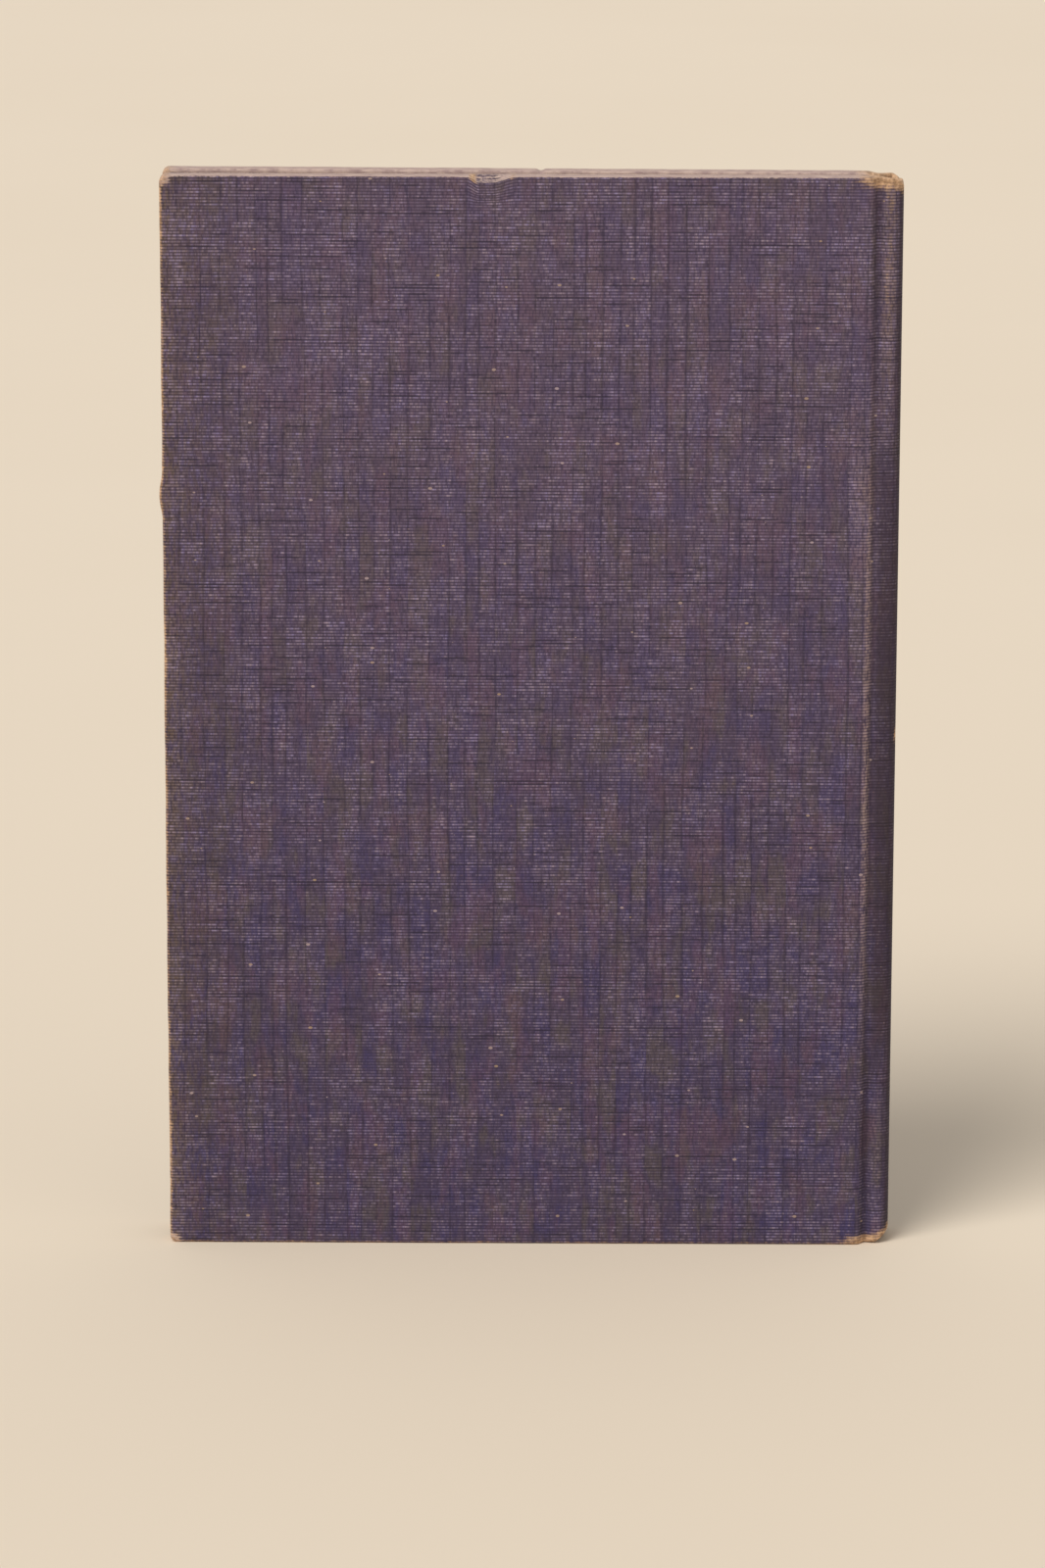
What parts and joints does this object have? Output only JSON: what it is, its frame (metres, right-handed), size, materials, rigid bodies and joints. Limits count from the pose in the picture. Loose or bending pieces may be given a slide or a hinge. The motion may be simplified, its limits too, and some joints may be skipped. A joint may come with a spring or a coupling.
{
  "type": "hardback book",
  "caption": "Thin hardback book in worn ribbed cloth over boards, with hinged covers, pressed joints and a flat spine, standing on its tail edges.",
  "frame": {"origin": "on the surface it stands on, under the middle of the book", "axes": "+Z from tail to head, +X towards the spine, -Y out of the back cover"},
  "size_m": [0.127, 0.012, 0.19],
  "materials": {
    "book_cloth": "worn ribbed cloth",
    "cover_board": "matte",
    "spine_card": "matte",
    "page_paper": "aged matte",
    "endpaper": "aged matte",
    "lining_paper": "matte",
    "mull_gauze": "open weave"
  },
  "bodies": {
    "text_block": {"page_block": "page_paper", "back_flyleaf": "endpaper", "front_flyleaf": "endpaper", "spine_mull": "mull_gauze", "spine_lining": "lining_paper", "spine_inlay": "spine_card", "spine_cloth": "book_cloth"},
    "back_cover": {"back_board": "cover_board", "back_cover_cloth": "book_cloth", "back_mull_wing": "mull_gauze", "back_pastedown": "endpaper"},
    "front_cover": {"front_board": "cover_board", "front_cover_cloth": "book_cloth", "front_mull_wing": "mull_gauze", "front_pastedown": "endpaper"}
  },
  "joints": [
    {"name": "back_cover_hinge", "type": "hinge", "parent": "text_block", "child": "back_cover", "pos_m": [0.059, -0.0057, 0.095], "axis": [0, 0, 1], "range_deg": [0, 180]},
    {"name": "front_cover_hinge", "type": "hinge", "parent": "text_block", "child": "front_cover", "pos_m": [0.059, 0.0057, 0.095], "axis": [0, 0, -1], "range_deg": [0, 180]}
  ]
}
